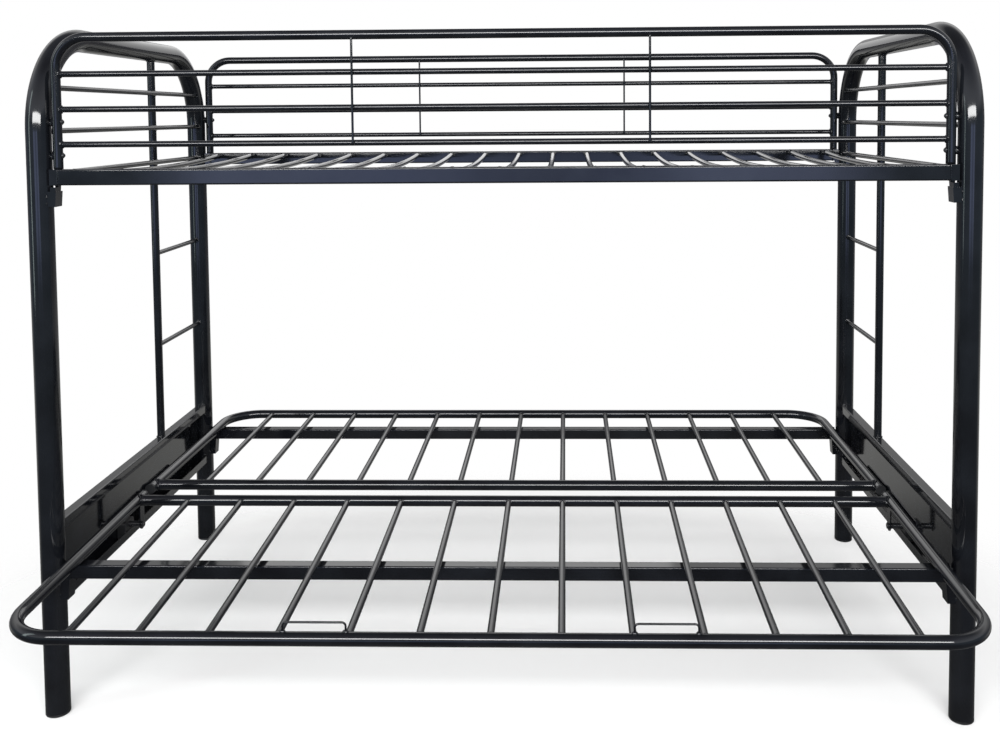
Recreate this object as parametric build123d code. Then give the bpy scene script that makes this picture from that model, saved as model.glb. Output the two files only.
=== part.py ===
from build123d import *
from math import atan2, degrees
import os

# Futon bunk bed in millimetres: X along the bed, Y from the front to the rear, Z up.
# The origin is on the floor, in the middle of the bed's outline.

# Fits and folds that all pieces share
overrun = 1.0
bolt_d = 6.0
bolt_hole_d = 6.6
fold_r = 3.0

# Legs and end hoops
leg_x = 965.0
leg_spread = 930.0
front_y = -349.0
rear_y = front_y + leg_spread
hoop_d = 50.8
hoop_wall = 1.5
hoop_bend = 200.0
hoop_top = 1454.5
cap_flange = 6.0
cap_plug = 25.0
cap_rim = 3.0
cap_wall = 2.5
cap_play = 0.3

# Ladder side of each end
post_y = front_y + 600.4
post_d = 20.0
post_wall = 1.2
rung_d = 12.0
bar_wall = 1.0
rung_heights = [915.5, 666.9]
end_bar_heights = [1344.6, 1253.2]
end_bar_x = 950.5
deck_bar_d = 12.7
deck_bar_z = 1162.0
deck_bar_x = 950.0

# Lipped channel panels between the legs, which are the futon's arms and its runner tracks
panel_face = 974.5
panel_depth = 25.0
panel_sheet = 1.5
panel_low = 239.0
panel_high = 417.5
panel_lip = 22.0

# Upper side rails and slats
rail_low = 1140.1
rail_high = 1173.5
rail_out = 15.0
rail_in = 10.0
rail_end = 921.5
rail_wall = 1.5
slat_d = 14.0
slat_pitch = 99.5
slat_count = 19
slat_first = -slat_pitch * (slat_count - 1) / 2
slat_end_z = 1165.5
slat_sag = 14.0
slat_trim = 2.0

# Guard rails: an inverted U with bars and rods, held clear of the legs by spacers
guard_x = 925.0
guard_top = 1448.0
guard_d = 20.0
guard_wall = 1.2
guard_bend = 65.0
guard_bar_heights = [1371.5, 1298.0, 1225.0]
guard_bar_d = 12.7
guard_rod_d = 5.0
guard_rod_x = {"front": (-303.0, 310.0), "rear": (-293.0, 310.0)}
guard_bolt_heights = [1272.0, 1202.0]
bolt_head_d = 14.0
bolt_head_h = 5.5
bolt_reach = 8.0
washer_d = 17.0
washer_h = 1.5
washer_gap = 0.1
spacer_d = 16.0
insert_d = 9.0
insert_play = 0.1
insert_length = 12.0

# Futon stretchers and the wedge sockets that carry the stretchers and the rails
stretcher = 30.0
stretcher_wall = 1.5
stretcher_top = {"front": 330.8, "rear": 339.2}
socket_sheet = 2.0
socket_half = 15.0
socket_top_x = 924.0
socket_low_x = 927.5
socket_depth = 45.0
upper_socket_gap = 13.0
wedge_gap = 0.5
wedge_depth = 38.0
leg_gap = 1.0

# Futon frames: one-inch tube, the seat leaning down to its front, the back lying flat
futon_x = 906.5
futon_d = 25.4
futon_wall = 1.2
futon_bend = 95.0
futon_slat_d = 14.0
futon_pitch = 129.4
futon_shift = -5.0
futon_count = 13
seat_front = (front_y - 329.6, 336.8)
seat_rear = (front_y + 302.0, 352.5)
back_front = (front_y + 407.5, 353.1)
back_rear = (front_y + 1027.6, 353.2)
tube_end_gap = 21.0
plug_rim = 2.0
plug_length = 12.0
plug_play = 0.1
loop_wire = 4.0
loop_width = 115.0
loop_rise = 18.2
loop_bend = 10.0
loop_reach = 318.0

# Futon linkage: the pivot between seat and back, and the runner below it
pivot_y = front_y + 355.0
pivot_z = 345.0
runner_z = 273.0
plate_side = futon_x + futon_d / 2
plate = 3.0
plate_gap = 0.5
strip = 22.0
arm_width = 24.0
pin_d = 8.0
pin_hole_d = 8.1
pin_head_d = 14.0
pin_head_h = 4.0
pin_length = 14.0
nut_radius = 6.5
nut_h = 6.0
nut_gap = 0.1
plate_bolt_reach = 12.0
plate_bolt_head_d = 12.0
plate_bolt_head_h = 3.0
seat_plate_reach = 198.0
back_plate_reach = 182.0
crank_start = 20.0
crank_end = 34.0
seat_bolts = [pivot_y - 62, pivot_y - 165]
back_bolts = [pivot_y + 75, pivot_y + 160]
runner_width = 20.0
runner_length = 50.0
runner_height = 44.0
runner_corner = 8.0
runner_play = 1.0
runner_rest = 0.3
runner_skin = 4.0
runner_face = panel_face - panel_sheet - runner_play
sleeve_d = 14.0

ends = {"left": -1, "right": 1}
depths = {"front": front_y, "rear": rear_y}


def cylinder_between(start, end, diameter):
    start, end = Vector(*start), Vector(*end)
    return extrude(Plane(origin=start, z_dir=end - start) * Circle(diameter / 2), (end - start).length)


def round_tube(start, end, diameter, wall):
    start, end = Vector(*start), Vector(*end)
    ring = Circle(diameter / 2) - Circle(diameter / 2 - wall)
    return extrude(Plane(origin=start, z_dir=end - start) * ring, (end - start).length)


def bent_tube(path, diameter, wall):
    section = Circle(diameter / 2) - Circle(diameter / 2 - wall) if wall else Circle(diameter / 2)
    return sweep(Plane(origin=path @ 0, z_dir=path % 0) * section, path=path)


def box_tube(length, depth, height, wall, corner):
    # along X, centred on the origin
    outer = RectangleRounded(depth, height, corner)
    inner = RectangleRounded(depth - 2 * wall, height - 2 * wall, corner - wall)
    lying = Plane(origin=(-length / 2, 0, 0), x_dir=(0, 1, 0), z_dir=(1, 0, 0))
    return extrude(lying * (outer - inner), length)


def middle_piece(bar, *neighbours):
    # the stretch of a bar that is left between the tubes it is welded to
    for neighbour in neighbours:
        bar = bar - neighbour
    return max(bar.solids(), key=lambda solid: solid.volume)


def mirrored(side, shape):
    return shape if side == "right" else mirror(shape, about=Plane.YZ)


def group(pieces):
    solids = []
    for piece in pieces:
        solids.extend(piece.solids())
    return Compound(children=solids)


def save(name, shape):
    export_step(shape, "parts/" + name + ".step")


def hoop_path(x):
    return FilletPolyline(
        (x, front_y, cap_flange),
        (x, front_y, hoop_top),
        (x, rear_y, hoop_top),
        (x, rear_y, cap_flange),
        radius=hoop_bend,
    )


def along_x(start_x, y, z, length, diameter):
    return cylinder_between((start_x, y, z), (start_x + length, y, z), diameter)


def hoop(core):
    inside = bent_tube(hoop_path(leg_x), hoop_d - 2 * hoop_wall, 0)
    tube = core - inside
    for y in depths.values():
        for z in guard_bolt_heights:
            tube = tube - along_x(leg_x - hoop_d, y, z, hoop_d, insert_d)
    return tube


def foot_cap(y):
    plug_r = hoop_d / 2 - hoop_wall - cap_play
    flange = extrude(Circle(hoop_d / 2), cap_flange)
    flange = fillet(flange.edges().group_by(Axis.Z)[0], cap_rim)
    plug = extrude(Plane.XY.offset(cap_flange) * (Circle(plug_r) - Circle(plug_r - cap_wall)), cap_plug)
    return Pos(leg_x, y, 0) * (flange + plug)


def ladder_post(core):
    whole = round_tube((leg_x, post_y, panel_high), (leg_x, post_y, hoop_top), post_d, post_wall)
    return middle_piece(whole, core)


def post_core():
    return cylinder_between((leg_x, post_y, panel_high), (leg_x, post_y, hoop_top), post_d)


def end_bars(core):
    bars = []
    for z in end_bar_heights:
        bar = cylinder_between((end_bar_x, front_y, z), (end_bar_x, rear_y, z), rung_d)
        bars.append(middle_piece(bar, core, post_core()))
    return group(bars)


def deck_bar(core):
    ends_at = (deck_bar_x, front_y, deck_bar_z), (deck_bar_x, rear_y, deck_bar_z)
    return middle_piece(round_tube(*ends_at, deck_bar_d, bar_wall), core, post_core())


def ladder_rungs(core):
    rungs = []
    for z in rung_heights:
        rung = cylinder_between((leg_x, post_y, z), (leg_x, rear_y, z), rung_d)
        rungs.append(middle_piece(rung, core, post_core()))
    return group(rungs)


def end_panel(core):
    # a pressed channel, open inboard, with a lip along the edge of each flange
    height = panel_high - panel_low
    outer = RectangleRounded(panel_depth, height, fold_r)
    inner = RectangleRounded(panel_depth - 2 * panel_sheet, height - 2 * panel_sheet, fold_r - panel_sheet)
    mouth = Pos(-panel_depth / 2, 0) * Rectangle(4 * panel_sheet, height - 2 * panel_lip)
    centre = (panel_face - panel_depth / 2, rear_y, (panel_low + panel_high) / 2)
    section = Plane(origin=centre, x_dir=(1, 0, 0), z_dir=(0, -1, 0)) * (outer - inner - mouth)
    return middle_piece(extrude(section, rear_y - front_y), core)


def wedge_outline(rail_bottom, inset, top, bottom, leg_side):
    # seen from the front: the inboard edge leans outwards below the rail
    lean = (socket_low_x - socket_top_x) / socket_depth
    inboard = socket_top_x + inset
    return Polygon(
        (leg_side, top),
        (inboard + lean * (rail_bottom - top), top),
        (inboard + lean * (rail_bottom - bottom), bottom),
        (leg_side, bottom),
        align=None,
    )


def from_front(outline, half):
    # an outline in X and Z drawn out to both sides of Y = 0
    return extrude(Plane(origin=(0, half, 0), x_dir=(1, 0, 0), z_dir=(0, -1, 0)) * outline, 2 * half)


def leg_core():
    return cylinder_between((leg_x, 0, 0), (leg_x, 0, hoop_top - hoop_bend), hoop_d)


def socket(rail_bottom, gap):
    # folded sheet welded to the leg: two cheeks, an inboard wall and a floor
    top = rail_bottom - gap
    bottom = rail_bottom - socket_depth
    shell = from_front(wedge_outline(rail_bottom, 0, top, bottom, leg_x), socket_half)
    pocket = wedge_outline(rail_bottom, socket_sheet, top + overrun, bottom + socket_sheet, leg_x)
    shell = shell - from_front(pocket, socket_half - socket_sheet)
    return middle_piece(shell, leg_core())


def upright_outline(start_x, low, finish_x, high):
    return Polygon((start_x, low), (finish_x, low), (finish_x, high), (start_x, high), align=None)


def rail_hook(rail_bottom, rail_top, shift):
    # pressed wedge on the rail's end: closes the tube and drops into the socket
    inset = socket_sheet + wedge_gap
    half = socket_half - inset
    leg_side = leg_x - hoop_d / 2 - leg_gap
    fold = rail_bottom - 2 * socket_sheet
    low = wedge_outline(rail_bottom, inset, rail_bottom, rail_bottom - wedge_depth, leg_side)
    high = upright_outline(rail_end, rail_bottom, leg_side, rail_top)
    low_hollow = wedge_outline(
        rail_bottom,
        inset + socket_sheet,
        rail_bottom - socket_sheet,
        rail_bottom - wedge_depth - overrun,
        leg_side + overrun,
    )
    high_hollow = upright_outline(rail_end + socket_sheet, fold, leg_side + overrun, rail_top + overrun)
    hook = from_front(low, half) + Pos(0, shift, 0) * from_front(high, half)
    hook = hook - from_front(low_hollow, half - socket_sheet)
    return hook - Pos(0, shift, 0) * from_front(high_hollow, half - socket_sheet)


def at_legs(piece_for):
    # one piece at each of the four legs
    pieces = []
    for depth, y in depths.items():
        for side in ends:
            pieces.append(mirrored(side, Pos(0, y, 0) * piece_for(depth)))
    return group(pieces)


def rail_shift(depth):
    # the upper rails stand a little outside the legs' middle
    outward = -1 if depth == "front" else 1
    return outward * (rail_out - rail_in) / 2


def upper_rail(depth):
    tube = box_tube(2 * rail_end, rail_out + rail_in, rail_high - rail_low, rail_wall, fold_r)
    return Pos(0, depths[depth] + rail_shift(depth), (rail_low + rail_high) / 2) * tube


def upper_slats():
    # each slat bows down a little between the rails' inner faces
    middle = (front_y + rear_y) / 2
    between_rails = leg_spread - 2 * rail_in
    bay = Pos(0, middle, slat_end_z) * Box(2 * leg_x, between_rails, hoop_top)
    slats = []
    for index in range(slat_count):
        x = slat_first + index * slat_pitch
        path = ThreePointArc(
            (x, front_y + rail_in - slat_trim, slat_end_z),
            (x, middle, slat_end_z - slat_sag),
            (x, rear_y - rail_in + slat_trim, slat_end_z),
        )
        slats.append(bent_tube(path, slat_d, bar_wall) & bay)
    return group(slats)


def guard_frame():
    path = FilletPolyline(
        (-guard_x, 0, rail_high + wedge_gap),
        (-guard_x, 0, guard_top),
        (guard_x, 0, guard_top),
        (guard_x, 0, rail_high + wedge_gap),
        radius=guard_bend,
    )
    core = bent_tube(path, guard_d, 0)
    frame = bent_tube(path, guard_d, guard_wall)
    for z in guard_bolt_heights:
        for x in (-guard_x, guard_x):
            frame = frame - along_x(x - guard_d, 0, z, 2 * guard_d, bolt_hole_d)
    return frame, core


def guard_bars(core):
    bars = [round_tube((-guard_x, 0, z), (guard_x, 0, z), guard_bar_d, bar_wall) for z in guard_bar_heights]
    return group([middle_piece(bar, core) for bar in bars])


def guard_rods(core, places):
    # thin upright rods across the front of the bars, from the lowest bar to the top tube
    rods = []
    y = -(guard_bar_d + guard_rod_d) / 2
    for x in places:
        rod = cylinder_between((x, y, min(guard_bar_heights)), (x, y, guard_top - guard_d / 4), guard_rod_d)
        rods.append(middle_piece(rod, core))
    return group(rods)


def dome(x, y, z, diameter, height, direction):
    # a domed head that stands on the plane at x and points along X, forwards or back
    tip = (direction * height, 0)
    rim = (0, diameter / 2)
    outline = make_face(TangentArc(tip, rim, tangent=(0, 1)) + Polyline(rim, (0, 0), tip))
    return Pos(x, y, z) * revolve(outline, Axis.X)


def guard_bolt(z):
    inner = guard_x - guard_d / 2 - washer_h
    shank = along_x(inner, 0, z, leg_x - hoop_d / 2 + bolt_reach - inner, bolt_d)
    washer = along_x(inner, 0, z, washer_h - washer_gap, washer_d)
    return shank + washer + dome(inner, 0, z, bolt_head_d, bolt_head_h, -1)


def guard_spacer(z):
    start = guard_x + guard_d / 2
    length = leg_x - hoop_d / 2 - start
    bore = along_x(start - overrun, 0, z, length + 2 * overrun, bolt_hole_d)
    return along_x(start, 0, z, length, spacer_d) - bore


def leg_insert(z):
    # threaded insert in the leg's wall
    start = leg_x - hoop_d / 2
    bore = along_x(start - overrun, 0, z, insert_length + 2 * overrun, bolt_d + insert_play)
    return along_x(start, 0, z, insert_length, insert_d - insert_play) - bore


def lower_stretcher(depth):
    tube = box_tube(2 * rail_end, stretcher, stretcher, stretcher_wall, fold_r)
    return Pos(0, depths[depth], stretcher_top[depth] - stretcher / 2) * tube


def stretcher_hook(depth):
    return rail_hook(stretcher_top[depth] - stretcher, stretcher_top[depth], 0)


def seat_slope():
    rise = seat_rear[1] - seat_front[1]
    return rise / (seat_rear[0] - seat_front[0])


def seat_z(y):
    return seat_front[1] + (y - seat_front[0]) * seat_slope()


def back_z(y):
    slope = (back_rear[1] - back_front[1]) / (back_rear[0] - back_front[0])
    return back_front[1] + (y - back_front[0]) * slope


def futon_frame(end_y, height_at, cross_y):
    # an open U: two side tubes and the round-cornered bar across their far end
    path = FilletPolyline(
        (-futon_x, end_y, height_at(end_y)),
        (-futon_x, cross_y, height_at(cross_y)),
        (futon_x, cross_y, height_at(cross_y)),
        (futon_x, end_y, height_at(end_y)),
        radius=futon_bend,
    )
    return bent_tube(path, futon_d, futon_wall), bent_tube(path, futon_d, 0)


def cross_bar(place, core):
    whole = round_tube((-futon_x, *place), (futon_x, *place), futon_d, futon_wall)
    return middle_piece(whole, core)


def futon_slats(first, last, frame_core, bar_core):
    slats = []
    for index in range(futon_count):
        x = futon_shift + (index - (futon_count - 1) / 2) * futon_pitch
        slat = round_tube((x, *first), (x, *last), futon_slat_d, bar_wall)
        slats.append(middle_piece(slat, frame_core, bar_core))
    return group(slats)


def mattress_loop(x, core):
    # a wire bow that keeps the mattress from sliding off the front bar
    y, z = seat_front
    top = z + futon_d / 2 + loop_rise
    path = FilletPolyline(
        (x - loop_width / 2, y, z),
        (x - loop_width / 2, y, top),
        (x + loop_width / 2, y, top),
        (x + loop_width / 2, y, z),
        radius=loop_bend,
    )
    return middle_piece(bent_tube(path, loop_wire, 0), core)


def strip_outline(points, width):
    # a plate of even width with round ends, seen from the side: Y and Z through the points
    outline = None
    for start, finish in zip(points, points[1:]):
        run = Vector(*finish) - Vector(*start)
        middle = (Vector(*finish) + Vector(*start)) * 0.5
        turn = degrees(atan2(run.Y, run.X))
        slot = Pos(middle.X, middle.Y) * Rot(0, 0, turn) * SlotCenterToCenter(run.length, width)
        outline = slot if outline is None else outline + slot
    return outline


def side_layer(outline, start_x, thickness):
    # an outline in Y and Z made a plate, from start_x outwards
    return extrude(Plane(origin=(start_x, 0, 0), x_dir=(0, 1, 0), z_dir=(1, 0, 0)) * outline, thickness)


def seat_hinge_plate():
    # a strip along the side tube, a knuckle at the pivot and an arm down to the runner
    tube_end = pivot_y - tube_end_gap
    start = pivot_y - seat_plate_reach + strip / 2
    strip_part = strip_outline([(start, seat_z(start)), (tube_end, seat_z(tube_end)), (pivot_y, pivot_z)], strip)
    arm = strip_outline([(pivot_y, pivot_z), (pivot_y, runner_z)], arm_width)
    plate_solid = side_layer(strip_part + arm, plate_side, plate)
    for z in (pivot_z, runner_z):
        plate_solid = plate_solid - through_plate(pivot_y, z, pin_hole_d)
    for y in seat_bolts:
        plate_solid = plate_solid - through_plate(y, seat_z(y), bolt_hole_d)
    return plate_solid


def through_plate(y, z, diameter):
    # long enough to drill the seat's plate and the back's
    return along_x(plate_side - overrun, y, z, 2 * (plate + plate_gap + overrun), diameter)


def back_hinge_plate():
    # cranked by its own thickness, so that it lies outside the seat's plate at the pivot
    outside = plate_side + plate + plate_gap
    tube_end = pivot_y + tube_end_gap
    finish = pivot_y + back_plate_reach - strip / 2
    side_view = strip_outline([(pivot_y, pivot_z), (tube_end, back_z(tube_end)), (finish, back_z(finish))], strip)
    top_view = Polygon(
        (outside, pivot_y - strip),
        (outside + plate, pivot_y - strip),
        (outside + plate, pivot_y + crank_start),
        (plate_side + plate, pivot_y + crank_end),
        (plate_side + plate, finish + strip),
        (plate_side, finish + strip),
        (plate_side, pivot_y + crank_end),
        (outside, pivot_y + crank_start),
        align=None,
    )
    slab = extrude(Plane.XY.offset(pivot_z - strip) * top_view, 3 * strip)
    plate_solid = side_layer(side_view, plate_side - overrun, 3 * plate) & slab
    plate_solid = plate_solid - through_plate(pivot_y, pivot_z, pin_hole_d)
    for y in back_bolts:
        plate_solid = plate_solid - through_plate(y, back_z(y), bolt_hole_d)
    return plate_solid


def plate_bolt(y, z):
    # screwed through the plate into the tube's wall, with a low domed head outside
    face = plate_side + plate
    shank = along_x(face - plate_bolt_reach, y, z, plate_bolt_reach, bolt_d)
    return shank + dome(face, y, z, plate_bolt_head_d, plate_bolt_head_h, 1)


def drilled(frame, bolts_y, height_at):
    for side in ends:
        for y in bolts_y:
            hole = along_x(futon_x, y, height_at(y), futon_d, bolt_hole_d)
            frame = frame - mirrored(side, hole)
    return frame


def headed_pin(z, length):
    # headed inboard of the seat's plate
    head = along_x(plate_side - pin_head_h, pivot_y, z, pin_head_h, pin_head_d)
    return head + along_x(plate_side, pivot_y, z, length, pin_d)


def hinge_pin():
    return headed_pin(pivot_z, pin_length)


def lock_nut():
    start = plate_side + 2 * plate + plate_gap + nut_gap
    hexagon = RegularPolygon(nut_radius, 6, major_radius=False)
    nut = side_layer(Pos(pivot_y, pivot_z) * hexagon, start, nut_h)
    return nut - along_x(start - overrun, pivot_y, pivot_z, nut_h + 2 * overrun, pin_hole_d)


def tube_plug(end, inward):
    # moulded plug in the open end of a side tube, with a thin rim outside
    along = Plane(origin=end, z_dir=inward)
    rim = extrude(along * Circle(futon_d / 2), -plug_rim)
    return rim + extrude(along * Circle(futon_d / 2 - futon_wall - plug_play), plug_length)


def futon_plug(start_y, finish_y, height_at):
    end = Vector(futon_x, start_y, height_at(start_y))
    return tube_plug(end, Vector(futon_x, finish_y, height_at(finish_y)) - end)


def runner():
    # moulded block that slides in the panel's lower channel, bored blind from inboard
    inner = runner_face - runner_width
    middle_z = panel_low + panel_sheet + runner_rest + runner_height / 2
    outline = Pos(pivot_y, middle_z) * RectangleRounded(runner_length, runner_height, runner_corner)
    bore = along_x(inner - overrun, pivot_y, runner_z, runner_width + overrun - runner_skin, pin_hole_d)
    return side_layer(outline, inner, runner_width) - bore


def runner_bolt():
    return headed_pin(runner_z, runner_face - runner_skin - overrun - plate_side)


def runner_sleeve():
    # keeps the arm and the runner apart
    start = plate_side + plate + plate_gap
    length = runner_face - runner_width - start
    bore = along_x(start - overrun, pivot_y, runner_z, length + 2 * overrun, pin_hole_d)
    return along_x(start, pivot_y, runner_z, length, sleeve_d) - bore


def both_sides(make):
    return [mirrored(side, make()) for side in ends]


def save_ends():
    core = bent_tube(hoop_path(leg_x), hoop_d, 0)
    for side in ends:
        save("hoop_" + side, mirrored(side, hoop(core)))
        save("ladder_post_" + side, mirrored(side, ladder_post(core)))
        save("ladder_rungs_" + side, mirrored(side, ladder_rungs(core)))
        save("end_bars_" + side, mirrored(side, end_bars(core)))
        save("deck_bar_" + side, mirrored(side, deck_bar(core)))
        save("end_panel_" + side, mirrored(side, end_panel(core)))
        for depth, y in depths.items():
            save("foot_cap_" + depth + "_" + side, mirrored(side, foot_cap(y)))


def save_upper_bunk():
    for depth in depths:
        save("upper_rail_" + depth, upper_rail(depth))
    save("upper_rail_hooks", at_legs(lambda depth: rail_hook(rail_low, rail_high, rail_shift(depth))))
    save("upper_sockets", at_legs(lambda depth: socket(rail_low, upper_socket_gap)))
    save("upper_slats", upper_slats())


def save_guards():
    frame, core = guard_frame()
    bars = guard_bars(core)
    for depth, y in depths.items():
        save("guard_frame_" + depth, Pos(0, y, 0) * frame)
        save("guard_bars_" + depth, Pos(0, y, 0) * bars)
        save("guard_rods_" + depth, Pos(0, y, 0) * guard_rods(core, guard_rod_x[depth]))
    fixings = {"guard_bolts": guard_bolt, "guard_spacers": guard_spacer, "leg_inserts": leg_insert}
    for name, make in fixings.items():
        save(name, at_legs(lambda depth: group([make(z) for z in guard_bolt_heights])))


def save_futon():
    for depth in depths:
        save("lower_stretcher_" + depth, lower_stretcher(depth))
    save("stretcher_hooks", at_legs(stretcher_hook))
    save("lower_sockets", at_legs(lambda depth: socket(stretcher_top[depth] - stretcher, wedge_gap)))

    seat_tube, seat_core = futon_frame(pivot_y - tube_end_gap, seat_z, seat_front[0])
    save("seat_frame", drilled(seat_tube, seat_bolts, seat_z))
    save("seat_rear_bar", cross_bar(seat_rear, seat_core))
    rear_core = along_x(-futon_x, *seat_rear, 2 * futon_x, futon_d)
    save("seat_slats", futon_slats(seat_front, seat_rear, seat_core, rear_core))
    for side in ends:
        save("mattress_loop_" + side, mattress_loop(futon_shift + ends[side] * loop_reach, seat_core))
        save("seat_hinge_plate_" + side, mirrored(side, seat_hinge_plate()))
    seat_bolt_set = [plate_bolt(y, seat_z(y)) for y in seat_bolts]
    save("seat_plate_bolts", group(both_sides(lambda: group(seat_bolt_set))))

    seat_plug = futon_plug(pivot_y - tube_end_gap, seat_front[0], seat_z)
    save("seat_tube_plugs", group(both_sides(lambda: seat_plug)))
    back_plug = futon_plug(pivot_y + tube_end_gap, back_rear[0], back_z)
    save("back_tube_plugs", group(both_sides(lambda: back_plug)))

    back_tube, back_core = futon_frame(pivot_y + tube_end_gap, back_z, back_rear[0])
    save("back_frame", drilled(back_tube, back_bolts, back_z))
    save("back_front_bar", cross_bar(back_front, back_core))
    front_core = along_x(-futon_x, *back_front, 2 * futon_x, futon_d)
    save("back_slats", futon_slats(back_front, back_rear, back_core, front_core))
    back_bolt_set = [plate_bolt(y, back_z(y)) for y in back_bolts]
    save("back_plate_bolts", group(both_sides(lambda: group(back_bolt_set))))
    for side in ends:
        save("back_hinge_plate_" + side, mirrored(side, back_hinge_plate()))
        save("runner_" + side, mirrored(side, runner()))
    save("hinge_pins", group(both_sides(hinge_pin)))
    save("hinge_pin_nuts", group(both_sides(lock_nut)))
    save("runner_bolts", group(both_sides(runner_bolt)))
    save("runner_sleeves", group(both_sides(runner_sleeve)))


os.makedirs("parts", exist_ok=True)
save_ends()
save_upper_bunk()
save_guards()
save_futon()
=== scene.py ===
import math

import bpy
import numpy as np
from mathutils import Matrix, Vector


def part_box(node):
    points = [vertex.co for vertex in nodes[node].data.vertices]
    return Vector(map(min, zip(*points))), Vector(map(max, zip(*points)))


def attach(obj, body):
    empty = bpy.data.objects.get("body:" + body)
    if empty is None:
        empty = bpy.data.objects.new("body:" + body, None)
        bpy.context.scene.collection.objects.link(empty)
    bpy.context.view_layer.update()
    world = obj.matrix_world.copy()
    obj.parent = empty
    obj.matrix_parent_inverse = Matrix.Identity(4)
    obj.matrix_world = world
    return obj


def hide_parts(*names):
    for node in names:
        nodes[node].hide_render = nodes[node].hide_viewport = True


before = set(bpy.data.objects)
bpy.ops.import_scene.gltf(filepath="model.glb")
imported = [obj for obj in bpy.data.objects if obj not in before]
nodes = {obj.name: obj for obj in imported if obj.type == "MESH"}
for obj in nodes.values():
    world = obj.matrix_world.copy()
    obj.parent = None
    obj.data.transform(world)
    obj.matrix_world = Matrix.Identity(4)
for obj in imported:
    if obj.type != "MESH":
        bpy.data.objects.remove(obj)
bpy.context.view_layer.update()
print("the frame is loaded")


def fromHex(code):
    # sRGB value s becomes s / 12.92 below 0.04045, else ((s + 0.055) / 1.055) to the power 2.4
    parts = [int(code[i:i + 2], 16) / 255 for i in (1, 3, 5)]
    linear = [s / 12.92 if s <= 0.04045 else ((s + 0.055) / 1.055) ** 2.4 for s in parts]
    return (*linear, 1.0)


def addNode(tree, kind, settings=None, links=None, **properties):
    # settings fill sockets by name or number, links join another node's output to a socket
    node = tree.nodes.new(kind)
    for name, value in properties.items():
        setattr(node, name, value)
    for socket, value in (settings or {}).items():
        node.inputs[socket].default_value = value
    for socket, source in (links or {}).items():
        tree.links.new(source, node.inputs[socket])
    return node


def newFinish(name):
    # a material, its tree and its shader
    finish = bpy.data.materials.new(name)
    finish.use_nodes = True
    tree = finish.node_tree
    return finish, tree, tree.nodes["Principled BSDF"]


# Polyester powder coat, sprayed and baked on steel tube: a deep gloss black with a faint
# blue cast, whose reflections waver a little where the powder flowed out unevenly.
tubeCoat = {
    "colour": "#0b0c0f",
    "thin": "#131519",
    "ior": 1.48,
    "roughness": 0.07,
    "roughnessSpread": 0.05,
    "peelSize": 0.005,        # the real orange peel is about 2 mm, drawn coarser to show
    "peelDepth": 0.00001,
    "cloudSize": 0.09,
}

# The same coat on pressed sheet: flatter, so its reflections are larger and clearer, and
# the sheet itself is slightly wavy from the press. Its folded edges are rounded.
sheetCoat = dict(tubeCoat, roughness=0.06, roughnessSpread=0.04, waveSize=0.11, waveDepth=0.0004,
                 edge=0.0008)

# The same coat over a weld bead: thicker, with the bead's ripples rounded off.
weldCoat = dict(tubeCoat, roughness=0.10, peelSize=0.002, peelDepth=0.00004)

# Black polypropylene, injection moulded with a fine spark grain: satin and slightly grey.
mouldedPlastic = {
    "colour": "#121315",
    "thin": "#1a1b1d",
    "ior": 1.49,
    "roughness": 0.42,
    "roughnessSpread": 0.08,
    "peelSize": 0.0012,       # spark grain is about 0.1 mm, drawn coarser to show
    "peelDepth": 0.00005,
    "cloudSize": 0.03,
    "edge": 0.0006,
}

# Steel screws with a black lacquer over zinc: darker and smoother than bare plating.
blackedScrew = {
    "colour": "#1b1c1e",
    "thin": "#26272a",
    "ior": 1.55,
    "roughness": 0.22,
    "roughnessSpread": 0.08,
    "peelSize": 0.0015,
    "peelDepth": 0.00002,
    "cloudSize": 0.01,
    "edge": 0.0004,
}


# Shared by the five: the noise's detail, the part of its range over which the two colours blend,
# and how finely an edge is rounded.
patternLook = {
    "cloudDetail": 3.0,
    "cloudBlend": (0.35, 0.7),
    "peelDetail": 2.0,
    "waveDetail": 1.0,
    "bevelSamples": 4,
}


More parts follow.
